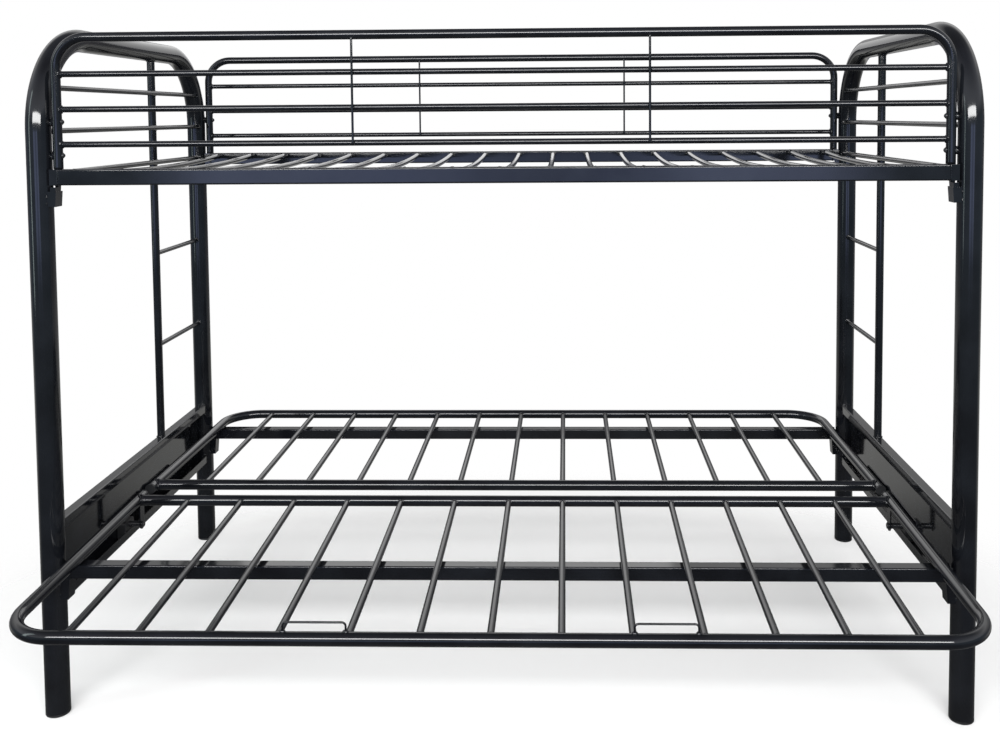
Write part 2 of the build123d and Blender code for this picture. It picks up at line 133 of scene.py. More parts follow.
def coated(name, look):
    # clouds of noise blend the two colours and vary the roughness, and a fine peel is bump, over
    # a slow wave and rounded edges where the look has them
    finish, tree, shader = newFinish(name)
    place = addNode(tree, "ShaderNodeTexCoord").outputs["Object"]
    clouds = addNode(tree, "ShaderNodeTexNoise",
                     {"Scale": 1 / look["cloudSize"], "Detail": patternLook["cloudDetail"]},
                     {"Vector": place})
    cloud = clouds.outputs["Fac"]
    low, high = patternLook["cloudBlend"]
    share = addNode(tree, "ShaderNodeMapRange", {"From Min": low, "From Max": high}, {"Value": cloud})
    colour = addNode(tree, "ShaderNodeMix", {"A": fromHex(look["colour"]), "B": fromHex(look["thin"])},
                     {"Factor": share.outputs["Result"]}, data_type="RGBA")
    rough = addNode(tree, "ShaderNodeMapRange",
                    {"To Min": look["roughness"], "To Max": look["roughness"] + look["roughnessSpread"]},
                    {"Value": cloud})
    peel = addNode(tree, "ShaderNodeTexNoise",
                   {"Scale": 1 / look["peelSize"], "Detail": patternLook["peelDetail"]}, {"Vector": place})
    normal = addNode(tree, "ShaderNodeBump", {"Strength": 1.0, "Distance": look["peelDepth"]},
                     {"Height": peel.outputs["Fac"]})
    tree.links.new(colour.outputs["Result"], shader.inputs["Base Color"])
    tree.links.new(rough.outputs["Result"], shader.inputs["Roughness"])
    tree.links.new(normal.outputs["Normal"], shader.inputs["Normal"])
    if "waveSize" in look:
        wave = addNode(tree, "ShaderNodeTexNoise",
                       {"Scale": 1 / look["waveSize"], "Detail": patternLook["waveDetail"]},
                       {"Vector": place})
        slow = addNode(tree, "ShaderNodeBump", {"Strength": 1.0, "Distance": look["waveDepth"]},
                       {"Height": wave.outputs["Fac"]})
        tree.links.new(slow.outputs["Normal"], normal.inputs["Normal"])
        normal = slow
    if "edge" in look:
        rounded = addNode(tree, "ShaderNodeBevel", {"Radius": look["edge"]},
                          samples=patternLook["bevelSamples"])
        tree.links.new(rounded.outputs["Normal"], normal.inputs["Normal"])
    shader.inputs["IOR"].default_value = look["ior"]
    return finish


finishes = {
    "tube": coated("glossBlackPowderCoatOnTube", tubeCoat),
    "sheet": coated("glossBlackPowderCoatOnSheet", sheetCoat),
    "weld": coated("powderCoatedWeldBead", weldCoat),
    "plastic": coated("mouldedBlackPolypropylene", mouldedPlastic),
    "screw": coated("blackLacqueredSteelScrew", blackedScrew),
}

# A node whose name starts with one of these has that finish. The rest are tube and wire.
finishStarts = {
    "plastic": ("foot_cap", "seat_tube_plugs", "back_tube_plugs", "runner_left", "runner_right"),
    "screw": ("guard_bolts", "leg_inserts", "seat_plate_bolts", "back_plate_bolts", "hinge_pins",
              "hinge_pin_nuts", "runner_bolts", "runner_sleeves"),
    "sheet": ("end_panel", "upper_rail", "upper_sockets", "lower_stretcher", "lower_sockets",
              "stretcher_hooks", "seat_hinge_plate", "back_hinge_plate"),
}


def finishFor(name):
    # the finish of a node that stays as the frame has it
    for finish, starts in finishStarts.items():
        if name.startswith(starts):
            return finish
    return "tube"


for name, node in nodes.items():
    if not node.data.materials:
        node.data.materials.append(None)
    for place in range(len(node.data.materials)):
        node.data.materials[place] = finishes[finishFor(name)]
print("the frame's nodes have their finishes")


def unit(v):
    # each vector over its length
    return v / np.linalg.norm(v, axis=-1, keepdims=True)


def bentPath(corners, bend=0.0, turns=13, rest=0.004):
    # straight runs joined by arcs: an arc's points are centre + bend * (sin u * incoming - cos u * inward)
    # for u from 0 to the turn, and a point close to each end of a run keeps its shading straight
    corners = np.array(corners, float)
    runs = unit(np.diff(corners, axis=0))
    points = [corners[:1], corners[:1] + rest * runs[0]]
    ways = [runs[:1], runs[:1]]
    for corner, a, b in zip(corners[1:-1], runs[:-1], runs[1:]):
        turn = np.arccos(a @ b)
        inward = unit(b - a * (a @ b))
        start = corner - a * bend * np.tan(turn / 2)
        u = np.linspace(0, turn, turns)[:, None]
        arc = start + inward * bend + bend * (np.sin(u) * a - np.cos(u) * inward)
        points += [arc[:1] - rest * a, arc, arc[-1:] + rest * b]
        ways += [a[None], np.cos(u) * a + np.sin(u) * inward, b[None]]
    points += [corners[-1:] - rest * runs[-1], corners[-1:]]
    ways += [runs[-1:], runs[-1:]]
    return np.concatenate(points), np.concatenate(ways)


def gridQuads(rows, columns, closedRows=False):
    # quads between each ring and the next, the last ring joined to the first where the rows close
    r, c = np.meshgrid(np.arange(rows if closedRows else rows - 1), np.arange(columns), indexing="ij")
    r2, c2 = (r + 1) % rows, (c + 1) % columns
    quads = np.stack([r * columns + c, r * columns + c2, r2 * columns + c2, r2 * columns + c], -1)
    return quads.reshape(-1, 4)


def closedRings(rings):
    # quads between neighbouring rings, and a fan from the middle of each end ring
    rows, columns = rings.shape[:2]
    k = np.arange(columns)
    k2 = (k + 1) % columns
    last = (rows - 1) * columns
    middle = np.full(columns, rows * columns)
    fans = np.concatenate([np.stack([middle, k2, k], -1), np.stack([middle + 1, last + k, last + k2], -1)])
    points = np.concatenate([rings.reshape(-1, 3), rings[:1].mean(1), rings[-1:].mean(1)])
    return points, [gridQuads(rows, columns), fans]


def joined(shapes):
    # several (points, faces) shapes as one
    offsets = np.cumsum([0] + [len(points) for points, faces in shapes[:-1]])
    points = np.concatenate([points for points, faces in shapes])
    return points, [part + offset for (_, faces), offset in zip(shapes, offsets) for part in faces]


def meshPiece(name, shape, finish, body, *replaced):
    # a smooth-shaded piece that rides a body and stands for the frame's nodes named last
    points, faces = shape
    mesh = bpy.data.meshes.new(name)
    mesh.from_pydata(points, [], [face for part in faces for face in part.tolist()])
    mesh.polygons.foreach_set("use_smooth", np.ones(len(mesh.polygons), bool))
    mesh.materials.append(finishes[finish])
    mesh.update()
    piece = bpy.data.objects.new(name, mesh)
    bpy.context.scene.collection.objects.link(piece)
    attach(piece, body)
    if replaced:
        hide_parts(*replaced)
    return piece


def circle(way, flat, radius, around):
    # radius * (cos a * flat + sin a * way x flat), for one direction or for an array of them
    a = np.linspace(0, 2 * np.pi, around, endpoint=False)[:, None]
    return radius * (np.cos(a) * flat + np.sin(a) * np.cross(way, flat)[..., None, :])


def tubeAlong(path, flat, radius, around=32):
    # a circle square to the path at each of its points
    points, ways = path
    return closedRings(points[:, None] + circle(ways, unit(np.array(flat, float)), radius, around))


def nearest(points, line):
    # each point's foot on a run of straight segments
    a = line[:-1]
    run = line[1:] - a
    share = np.clip(((points[..., None, :] - a) * run).sum(-1) / (run * run).sum(-1), 0, 1)
    feet = a + share[..., None] * run
    closest = np.linalg.norm(points[..., None, :] - feet, axis=-1).argmin(-1)
    return np.take_along_axis(feet, closest[..., None, None], -2)[..., 0, :]


def reach(ring, way, neighbour, furthest=0.1, samples=101, halvings=20):
    # moves each point of a ring along the bar up to where it meets the neighbour's surface:
    # the first sample inside the surface, then the interval before it halved
    line, radius = neighbour
    s = np.linspace(0, furthest, samples)
    at = ring[:, None] + s[:, None] * way
    inside = np.linalg.norm(at - nearest(at, line), axis=-1) < radius
    first = np.where(inside.any(1), inside.argmax(1), samples - 1)
    near, far = s[np.maximum(first - 1, 0)], s[first]
    for _ in range(halvings):
        middle = (near + far) / 2
        at = ring + middle[:, None] * way
        outside = np.linalg.norm(at - nearest(at, line), axis=-1) > radius
        near, far = np.where(outside, middle, near), np.where(outside, far, middle)
    return ring + near[:, None] * way


copeLook = {
    "reach": 0.1,             # how far from each end the search for its neighbour starts, at most
    "endRing": 0.003,         # a ring this far inside an end keeps the tube's shading straight
}


def copedBar(start, end, flat, radius, atStart=None, atEnd=None, around=24):
    # a straight tube, each point of whose end rings lies on the surface that the end is welded to
    start, end, flat = (np.array(v, float) for v in (start, end, flat))
    way = unit(end - start)
    half = min(copeLook["reach"], np.linalg.norm(end - start) / 2)
    ring = circle(way, flat, radius, around)
    first = start + ring if atStart is None else reach(start + half * way + ring, -way, atStart, half)
    last = end + ring if atEnd is None else reach(end - half * way + ring, way, atEnd, half)
    low = ((first - start) @ way).max() + copeLook["endRing"]
    high = ((last - start) @ way).min() - copeLook["endRing"]
    rings = [first, start + low * way + ring, start + high * way + ring, last]
    return closedRings(np.array(rings))


beadLook = {
    "ripple": 0.0042,         # real ripples are 1 to 2 mm apart, drawn coarser to show
    "rippleDepth": 0.13,
    "swell": 0.18,
    "swells": 2,
    "tip": 0.05,              # an open bead's width at its ends, before the power of taper
    "taper": 0.4,
    "around": 6,
    "perRipple": 3,
    "fewest": 18,             # rings of a closed bead, however thin its bar
    "fewestInLine": 9,
}
chance = np.random.default_rng(11)    # seeded, so every run gives the same welds


def beadRows(length, fewest):
    # rings along a bead: so many for each ripple
    return max(fewest, round(length / beadLook["ripple"] * beadLook["perRipple"]))


def bead(curve, outward, size, closed=True):
    # a weld bead: circles of radius size * (1 + swell * slow sine + depth * ripple sine) along the
    # curve, drawn down to a point at the ends of an open one
    look = beadLook
    rows = len(curve)
    if closed:
        ways = unit(np.roll(curve, -1, 0) - np.roll(curve, 1, 0))
    else:
        ways = unit(np.gradient(curve, axis=0))
    outward = unit(outward - ways * (outward * ways).sum(-1, keepdims=True))
    t = np.arange(rows) / (rows if closed else rows - 1)
    ripples = max(2, round(rows / look["perRipple"]))
    width = 1 + look["swell"] * np.sin(2 * np.pi * (look["swells"] * t + chance.random()))
    width += look["rippleDepth"] * np.sin(2 * np.pi * (ripples * t + chance.random()))
    if not closed:
        width *= np.clip(np.sin(np.pi * t), look["tip"], 1) ** look["taper"]
    a = np.linspace(0, 2 * np.pi, look["around"], endpoint=False)
    rings = curve[:, None] + size * width[:, None, None] * (
        np.cos(a)[:, None] * outward[:, None] + np.sin(a)[:, None] * np.cross(ways, outward)[:, None])
    if closed:
        return rings.reshape(-1, 3), [gridQuads(rows, len(a), True)]
    return closedRings(rings)


def ringBead(start, way, flat, radius, neighbour, size, furthest=0.1):
    # a bead round the end of a bar, where it meets its neighbour
    start, way, flat = (np.array(v, float) for v in (start, way, flat))
    rows = beadRows(2 * np.pi * radius, beadLook["fewest"])
    ring = circle(way, flat, radius, rows)
    curve = reach(start + ring, way, neighbour, furthest)
    return bead(curve, unit(ring) + unit(curve - nearest(curve, neighbour[0])), size)


def flatBead(centre, way, flat, radius, size):
    # a bead round the end of a bar that stands square on a flat face
    centre, way, flat = (np.array(v, float) for v in (centre, way, flat))
    rows = beadRows(2 * np.pi * radius, beadLook["fewest"])
    ring = circle(way, flat, radius, rows)
    return bead(centre + ring, unit(ring) - way, size)


def lineBead(start, end, outward, size):
    # a straight stitch
    start, end = np.array(start, float), np.array(end, float)
    rows = beadRows(np.linalg.norm(end - start), beadLook["fewestInLine"])
    curve = start + (end - start) * np.linspace(0, 1, rows)[:, None]
    return bead(curve, np.tile(np.array(outward, float), (rows, 1)), size, closed=False)


spotLook = {
    "rows": 7,
    "around": 10,
    "pole": 0.12,             # the first ring's angle from the axis
    "dents": 3,
    "dentDepth": 0.08,
    "turn": 6,                # radians that chance may turn the dents by
}


def spot(centre, axes):
    # a spot weld's lump: centre + axes * (sin u * cos a, sin u * sin a, cos u), all of it times
    # 1 + depth * sin(dents * a + turn)
    look = spotLook
    u = np.linspace(look["pole"], np.pi - look["pole"], look["rows"])[:, None]
    a = -np.linspace(0, 2 * np.pi, look["around"], endpoint=False)
    shape = np.stack([np.sin(u) * np.cos(a), np.sin(u) * np.sin(a), np.cos(u) * np.ones_like(a)], -1)
    lump = 1 + look["dentDepth"] * np.sin(look["dents"] * a + look["turn"] * chance.random())
    return closedRings(np.array(centre) + np.array(axes) * shape * lump[None, :, None])


def camel(node):
    # seat_rear_bar becomes seatRearBar
    first, *others = node.split("_")
    return first + "".join(word.title() for word in others)


def sizes(name):
    # a node's box as two arrays
    low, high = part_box(name)
    return np.array(low), np.array(high)


sides = {"left": -1, "right": 1}
depths = ("front", "rear")
frameWelds = []
seatWelds = []
backWelds = []

endLook = {
    "bend": 0.2,
    "bendSteps": 25,
    "hoopRound": 48,
    "postWeld": 0.0021,
    "barWeld": 0.0017,
    "postReach": 0.08,        # how far before the hoop the search for a weld's line starts
    "barReach": 0.15,
    "rungReach": 0.2,         # how far from a rung's middle its welds are searched for
    "spot": (0.0032, 0.0048, 0.0022),
    "spotPlace": (0.95, 0.9),    # from the middle of a crossing, in radii of the post and of the bar
}


def makeEnd(side, look):
    # the bent hoop, then the ladder's post and rungs and the end's bars, coped to what carries them
    low, high = sizes("hoop_" + side)
    hoopR = (high[0] - low[0]) / 2
    x, front, rear, top = low[0] + hoopR, low[1] + hoopR, high[1] - hoopR, high[2] - hoopR
    corners = [(x, front, low[2]), (x, front, top), (x, rear, top), (x, rear, low[2])]
    path = bentPath(corners, look["bend"], look["bendSteps"])
    meshPiece("hoop" + side.title(), tubeAlong(path, (1, 0, 0), hoopR, look["hoopRound"]), "tube", "frame",
              "hoop_" + side)
    hoop = (path[0], hoopR)

    low, high = sizes("ladder_post_" + side)
    postR = (high[0] - low[0]) / 2
    postX, postY, foot = low[0] + postR, low[1] + postR, low[2]
    post = copedBar((postX, postY, foot), (postX, postY, top), (1, 0, 0), postR, atEnd=hoop)
    meshPiece("ladderPost" + side.title(), post, "tube", "frame", "ladder_post_" + side)
    below = (postX, postY, top - look["postReach"])
    frameWelds.append(ringBead(below, (0, 0, 1), (1, 0, 0), postR, hoop, look["postWeld"]))
    frameWelds.append(flatBead((postX, postY, foot), (0, 0, -1), (1, 0, 0), postR, look["postWeld"]))
    postLine = (np.array([(postX, postY, foot), (postX, postY, top)]), postR)

    low, high = sizes("ladder_rungs_" + side)
    rungR = (high[0] - low[0]) / 2
    rungs = []
    size, away = look["barWeld"], look["rungReach"]
    for z in (low[2] + rungR, high[2] - rungR):
        rungs.append(copedBar((postX, postY, z), (postX, rear, z), (1, 0, 0), rungR, postLine, hoop))
        middle = (postX, (postY + rear) / 2, z)
        frameWelds.append(ringBead(middle, (0, 1, 0), (1, 0, 0), rungR, hoop, size, away))
        frameWelds.append(ringBead(middle, (0, -1, 0), (1, 0, 0), rungR, postLine, size, away))
    meshPiece("ladderRungs" + side.title(), joined(rungs), "tube", "frame", "ladder_rungs_" + side)

    away = look["barReach"]
    inPost, upBar = look["spotPlace"]
    for node, name in (("end_bars_", "endBars"), ("deck_bar_", "deckBar")):
        low, high = sizes(node + side)
        barR = (high[0] - low[0]) / 2
        barX = low[0] + barR
        bars = []
        # two heights, which are the same where the node is a single bar
        for z in sorted({round(low[2] + barR, 5), round(high[2] - barR, 5)}):
            bars.append(copedBar((barX, front, z), (barX, rear, z), (1, 0, 0), barR, hoop, hoop))
            for way in (-1, 1):
                begin = (barX, (front + rear) / 2 + way * ((rear - front) / 2 - away), z)
                frameWelds.append(ringBead(begin, (0, way, 0), (1, 0, 0), barR, hoop, size, away))
                crossing = (postX - sides[side] * postR * inPost, postY, z + way * barR * upBar)
                frameWelds.append(spot(crossing, look["spot"]))
        meshPiece(name + side.title(), joined(bars), "tube", "frame", node + side)
    return x, front, rear, hoopR


ends = {side: makeEnd(side, endLook) for side in sides}
print("the two ends are made")

guardLook = {
    "bend": 0.065,
    "bendSteps": 15,
    "around": 32,
    "barCount": 3,
    "barWeld": 0.0025,
    "barReach": 0.05,         # how far from the tube the search for a bar's weld line starts
    "rodAround": 12,
    "rodFoot": 0.003,         # below the lowest bar's middle
    "rodSpot": (0.0042, 0.0016, 0.0026),
    "rodTopSpot": (0.6, 0.001),    # rod radii behind its middle, metres below its top
    "spacer": 0.0088,
    "spacerHalf": 0.012,      # half its length before its ends are coped
    "legSpan": (0.5, 1.3),    # the heights of a leg's line that the spacers are coped to
    "boltInset": 0.0085,      # from the node's lower and upper end to a bolt's middle
    "shank": 0.003,
    "shankLength": 0.018,
    "washerRadius": 0.0062,
    "washerThick": 0.0012,
    "washerLift": 0.0001,     # off the tube's surface
    "washerEdge": 0.0003,
    "headTop": 0.0042,
    "headRadius": 0.0054,
    "headFoot": 0.0004,       # where the dome starts above the washer
    "headStep": 0.0002,
    "socketFlats": 0.004,     # across the flats of the hexagon socket
    "socketRim": 1.3,         # the round rim over half the flats
    "socketDepth": 0.0024,
    "socketEdge": 0.0002,
    "socketNarrow": (0.97, 0.85),    # its walls and its floor, as parts of its mouth
}


def socketHead(place, way, look, around=24, domeRows=7):
    # profile turned about the bolt: shank, washer, dome of height h * (1 - (r / R)^2), then a socket
    # whose radius at angle a is flats / 2 / cos(a from the middle of the nearest flat)
    a = np.linspace(0, 2 * np.pi, around, endpoint=False)
    hexagon = look["socketFlats"] / 2 / np.cos((a + np.pi / 6) % (np.pi / 3) - np.pi / 6)
    rim = look["socketFlats"] / 2 * look["socketRim"]
    washer, wide, edge = look["washerThick"], look["washerRadius"], look["washerEdge"]
    lift, foot = look["washerLift"], look["headFoot"]
    radii = [look["shank"], look["shank"], wide - edge, wide, wide, wide - edge,
             look["headRadius"] + look["headStep"]]
    heights = [-look["shankLength"], lift, lift, lift + edge, washer - edge, washer, washer]
    r = np.linspace(look["headRadius"], rim, domeRows)
    radii += list(r)
    heights += list(washer + foot + (look["headTop"] - foot) * (1 - (r / look["headRadius"]) ** 2))
    rings = [np.stack([np.full(around, h), radius * np.cos(a), radius * np.sin(a)], -1)
             for radius, h in zip(radii, heights)]
    top, edge, deep = heights[-1], look["socketEdge"], look["socketDepth"]
    walls, floor = look["socketNarrow"]
    for h, scale in ((top, 1.0), (top - edge, walls), (top - deep, walls), (top - deep - edge, floor)):
        six = scale * hexagon
        rings.append(np.stack([np.full(around, h), six * np.cos(a), six * np.sin(a)], -1))
    points, faces = closedRings(np.array(rings))
    points[:, 0] *= way
    if way < 0:
        faces = [part[:, ::-1] for part in faces]
    return points + np.array(place), faces


def makeGuard(depth, look):
    # the bent tube, three bars coped to it and two thin rods spot welded in front of them
    low, high = sizes("guard_frame_" + depth)
    tubeR = (high[1] - low[1]) / 2
    left, right, y, top = low[0] + tubeR, high[0] - tubeR, low[1] + tubeR, high[2] - tubeR
    corners = [(left, y, low[2]), (left, y, top), (right, y, top), (right, y, low[2])]
    path = bentPath(corners, look["bend"], look["bendSteps"])
    meshPiece("guardFrame" + depth.title(), tubeAlong(path, (0, 1, 0), tubeR, look["around"]), "tube",
              "frame", "guard_frame_" + depth)
    guard = (path[0], tubeR)

    low, high = sizes("guard_bars_" + depth)
    barR = (high[1] - low[1]) / 2
    heights = np.linspace(low[2] + barR, high[2] - barR, look["barCount"])
    bars = [copedBar((left, y, z), (right, y, z), (0, 1, 0), barR, guard, guard) for z in heights]
    meshPiece("guardBars" + depth.title(), joined(bars), "tube", "frame", "guard_bars_" + depth)
    away = look["barReach"]
    for z in heights:
        for way, x in ((-1, left), (1, right)):
            begin = (x - way * away, y, z)
            frameWelds.append(ringBead(begin, (way, 0, 0), (0, 1, 0), barR, guard, look["barWeld"], away))

    low, high = sizes("guard_rods_" + depth)
    rodR = (high[1] - low[1]) / 2
    rodY = low[1] + rodR
    behind, below = look["rodTopSpot"]
    rods = []
    for x in (low[0] + rodR, high[0] - rodR):
        foot, head = (x, rodY, low[2] - look["rodFoot"]), (x, rodY, high[2])
        rods.append(copedBar(foot, head, (0, 1, 0), rodR, around=look["rodAround"]))
        for z in heights:
            frameWelds.append(spot((x, rodY + rodR, z), look["rodSpot"]))
        frameWelds.append(spot((x, rodY + rodR * behind, high[2] - below), look["rodSpot"]))
    meshPiece("guardRods" + depth.title(), joined(rods), "tube", "frame", "guard_rods_" + depth)
    return left, right, y, tubeR, guard


def makeGuardFixings(guards, look):
    # two bolts in each upright of a guard, and a spacer from the upright to the leg at each bolt
    low, high = sizes("guard_bolts")
    heights = (low[2] + look["boltInset"], high[2] - look["boltInset"])
    legLow, legHigh = look["legSpan"]
    bolts = []
    spacers = []
    for left, right, y, tubeR, guard in guards:
        for side, x in (("left", left), ("right", right)):
            way = sides[side]
            legX, _, _, hoopR = ends[side]
            leg = (np.array([(legX, y, legLow), (legX, y, legHigh)]), hoopR)
            gap = (x + way * tubeR + legX - way * hoopR) / 2
            span = look["spacerHalf"] * way
            for z in heights:
                bolts.append(socketHead((x - way * tubeR, y, z), -way, look))
                inner, outer = (gap - span, y, z), (gap + span, y, z)
                spacers.append(copedBar(inner, outer, (0, 1, 0), look["spacer"], guard, leg))
    meshPiece("guardBolts", joined(bolts), "screw", "frame", "guard_bolts")
    meshPiece("guardSpacers", joined(spacers), "tube", "frame", "guard_spacers")


guards = [makeGuard(depth, guardLook) for depth in depths]
makeGuardFixings(guards, guardLook)
print("the guard rails are made")

railLook = {
    "corner": 0.003,
    "cornerSteps": 6,
    "support": 0.0006,        # a point this far past each corner keeps the faces between them flat
    "endRing": 0.003,         # a ring this far inside each end keeps the shading straight
    "seam": 0.0011,
    "seamRows": 66,
}


def roundedOutline(halfY, halfZ, look):
    # a rectangle with an arc at each corner: arc point = arc centre + radius * (cos a, sin a)
    r = look["corner"]
    parts = []
    for k, (sy, sz) in enumerate(((1, 1), (-1, 1), (-1, -1), (1, -1))):
        a = (k + np.linspace(0, 1, look["cornerSteps"])) * np.pi / 2
        arc = np.array([sy * (halfY - r), sz * (halfZ - r)]) + r * np.stack([np.cos(a), np.sin(a)], -1)
        before = arc[:1] + look["support"] * np.array([[np.sin(a[0]), -np.cos(a[0])]])
        after = arc[-1:] + look["support"] * np.array([[-np.sin(a[-1]), np.cos(a[-1])]])
        parts.append(np.concatenate([before, arc, after]))
    return np.concatenate(parts)


def resampled(loop, rows):
    # points at even steps round a closed loop
    closedLoop = np.concatenate([loop, loop[:1]])
    steps = np.concatenate([[0], np.cumsum(np.linalg.norm(np.diff(closedLoop, axis=0), axis=1))])
    at = np.linspace(0, steps[-1], rows, endpoint=False)
    return np.stack([np.interp(at, steps, closedLoop[:, k]) for k in range(3)], -1)


def makeRail(node, look):
    # the rounded outline carried along x, and a bead round it where each end meets its socket
    low, high = sizes(node)
    middle = (low + high) / 2
    half = (high - low) / 2
    outline = middle[1:] + roundedOutline(half[1], half[2], look)
    xs = (low[0], low[0] + look["endRing"], high[0] - look["endRing"], high[0])
    rings = [np.concatenate([np.full((len(outline), 1), x), outline], 1) for x in xs]
    meshPiece(camel(node), closedRings(np.array(rings)), "sheet", "frame", node)
    for ring in (rings[0], rings[-1]):
        curve = resampled(ring, look["seamRows"])
        outward = curve - np.array([ring[0, 0], *middle[1:]])
        frameWelds.append(bead(curve, outward, look["seam"]))


for rail in ("upper_rail_front", "upper_rail_rear", "lower_stretcher_front", "lower_stretcher_rear"):
    makeRail(rail, railLook)

slatLook = {
    "upperCount": 19,
    "upperSteps": 25,
    "futonCount": 13,
    "around": 20,
    "radius": 0.007,
    "weld": 0.0019,
}


def makeUpperSlats(look):
    # each slat's centre is an arc of a parabola: end height - sag * (1 - t^2), t from -1 to 1
    low, high = sizes("upper_slats")
    front, rear = sizes("upper_rail_front")[1][1], sizes("upper_rail_rear")[0][1]
    slatR = look["radius"]
    t = np.linspace(-1, 1, look["upperSteps"])
    endZ, lowZ = high[2] - slatR, low[2] + slatR
    half = (rear - front) / 2
    across, heights = (front + rear) / 2 + half * t, lowZ + (endZ - lowZ) * t * t
    ways = unit(np.stack([np.zeros_like(t), np.full_like(t, half), 2 * (endZ - lowZ) * t], -1))
    slats = []
    for x in np.linspace(low[0] + slatR, high[0] - slatR, look["upperCount"]):
        points = np.stack([np.full_like(t, x), across, heights], -1)
        slats.append(tubeAlong((points, ways), (1, 0, 0), slatR, look["around"]))
        for place, way in ((front, -1), (rear, 1)):
            frameWelds.append(flatBead((x, place, endZ), (0, way, 0), (1, 0, 0), slatR, look["weld"]))
    meshPiece("upperSlats", joined(slats), "tube", "frame", "upper_slats")


makeUpperSlats(slatLook)
print("the rails and the upper slats are made")

futonLook = {
    "bend": 0.095,
    "bendSteps": 19,
    "around": 36,
    "clear": 0.0002,          # bars and slats end this far off the bent tube, under their welds
    "barWeld": 0.0022,
    "barReach": 0.06,         # how far from its neighbour the search for each weld's line starts
    "slatReach": 0.05,
    "loopBend": 0.007,
    "loopSteps": 9,
    "loopRest": 0.002,        # how far past each bend a point keeps the shading straight
    "loopAround": 12,
    "loopSpot": (0.0060, 0.0050, 0.0042),
    "loopSpotRise": 0.0006,
}


def makeFutonHalf(half, frameNode, barNode, slatNode, crossSide, welds, look):
    # a U of bent tube, closed by a bar and filled with slats, all in one sloping plane; crossSide
    # is -1 where the U's cross bar is in front and 1 where it is at the rear
    low, high = sizes(frameNode)
    barLow, barHigh = sizes(barNode)
    bar = (barLow + barHigh) / 2
    tubeR = (barHigh[1] - barLow[1]) / 2
    if crossSide < 0:
        crossY, crossZ, openY = low[1] + tubeR, low[2] + tubeR, high[1]
    else:
        crossY, crossZ, openY = high[1] - tubeR, high[2] - tubeR, low[1]
    slope = (bar[2] - crossZ) / (bar[1] - crossY)
    openZ = crossZ + slope * (openY - crossY)
    left, right = low[0] + tubeR, high[0] - tubeR
    corners = [(left, openY, openZ), (left, crossY, crossZ), (right, crossY, crossZ), (right, openY, openZ)]
    path = bentPath(corners, look["bend"], look["bendSteps"])
    up = unit(np.array([0, -slope, 1.0]))
    meshPiece(half + "Frame", tubeAlong(path, up, tubeR, look["around"]), "tube", half, frameNode)
    tube = (path[0], tubeR + look["clear"])

    cross = copedBar((left, bar[1], bar[2]), (right, bar[1], bar[2]), up, tubeR, tube, tube, look["around"])
    meshPiece(camel(barNode), cross, "tube", half, barNode)
    away = look["barReach"]
    for way, x in ((-1, left), (1, right)):
        begin = (x - way * away, bar[1], bar[2])
        welds.append(ringBead(begin, (way, 0, 0), up, tubeR, tube, look["barWeld"], away))
    barLine = (np.array([(left, bar[1], bar[2]), (right, bar[1], bar[2])]), tubeR)

    low, high = sizes(slatNode)
    slatR = slatLook["radius"]
    size, away = slatLook["weld"], look["slatReach"]
    slats = []
    for x in np.linspace(low[0] + slatR, high[0] - slatR, slatLook["futonCount"]):
        start, end = np.array([x, crossY, crossZ]), np.array([x, bar[1], bar[2]])
        slats.append(copedBar(start, end, (1, 0, 0), slatR, tube, barLine, slatLook["around"]))
        way = unit(end - start)
        welds.append(ringBead(end - away * way, way, (1, 0, 0), slatR, barLine, size, away))
        welds.append(ringBead(start + away * way, -way, (1, 0, 0), slatR, tube, size, away))
    meshPiece(half + "Slats", joined(slats), "tube", half, slatNode)
    return crossZ, tubeR


def makeMattressLoops(crossZ, tubeR, look):
    # the wire bows on the front bar, with a lump of weld at each foot
    for side in sides:
        low, high = sizes("mattress_loop_" + side)
        wireR = (high[1] - low[1]) / 2
        left, right, y, top = low[0] + wireR, high[0] - wireR, (low[1] + high[1]) / 2, high[2] - wireR
        corners = [(left, y, crossZ), (left, y, top), (right, y, top), (right, y, crossZ)]
        path = bentPath(corners, look["loopBend"], look["loopSteps"], look["loopRest"])
        meshPiece("mattressLoop" + side.title(), tubeAlong(path, (0, 1, 0), wireR, look["loopAround"]),
                  "tube", "seat", "mattress_loop_" + side)
        for x in (left, right):
            seatWelds.append(spot((x, y, crossZ + tubeR + look["loopSpotRise"]), look["loopSpot"]))


seatFront = makeFutonHalf("seat", "seat_frame", "seat_rear_bar", "seat_slats", -1, seatWelds, futonLook)
makeFutonHalf("back", "back_frame", "back_front_bar", "back_slats", 1, backWelds, futonLook)
makeMattressLoops(*seatFront, futonLook)
print("the futon is made")

stitchLook = {
    "size": 0.0019,
    "cheek": 0.015,           # a socket's cheeks from its leg's middle
    "railGap": 0.013,         # from the rail's underside down to where its stitches may start
    "stretcherGap": 0.0005,
    "socketDepth": 0.045,
    "socketMarks": (0.3, 0.8),
    "socketStitch": 0.008,
    "panelStitches": ((0.12, 0.016), (0.5, 0.032), (0.88, 0.016)),    # share of the height, length
    "flangeRows": 20,
}


def makeSocketStitches(railNode, gap, look):
    # a cheek that stands c from the leg's middle meets the round leg at sqrt(R^2 - c^2) from it
    bottom = sizes(railNode)[0][2]
    top, low = bottom - gap, bottom - look["socketDepth"]
    for side, (legX, front, rear, hoopR) in ends.items():
        legY = front if railNode.endswith("front") else rear
        for way in (-1, 1):
            inboard = -sides[side] * np.sqrt(hoopR ** 2 - look["cheek"] ** 2)
            x, y = legX + inboard, legY + way * look["cheek"]
            outward = (inboard / hoopR, way * (1 + look["cheek"] / hoopR), 0)
            for mark in look["socketMarks"]:
                z = top + (low - top) * mark
                half = look["socketStitch"] / 2
                frameWelds.append(lineBead((x, y, z - half), (x, y, z + half), outward, look["size"]))


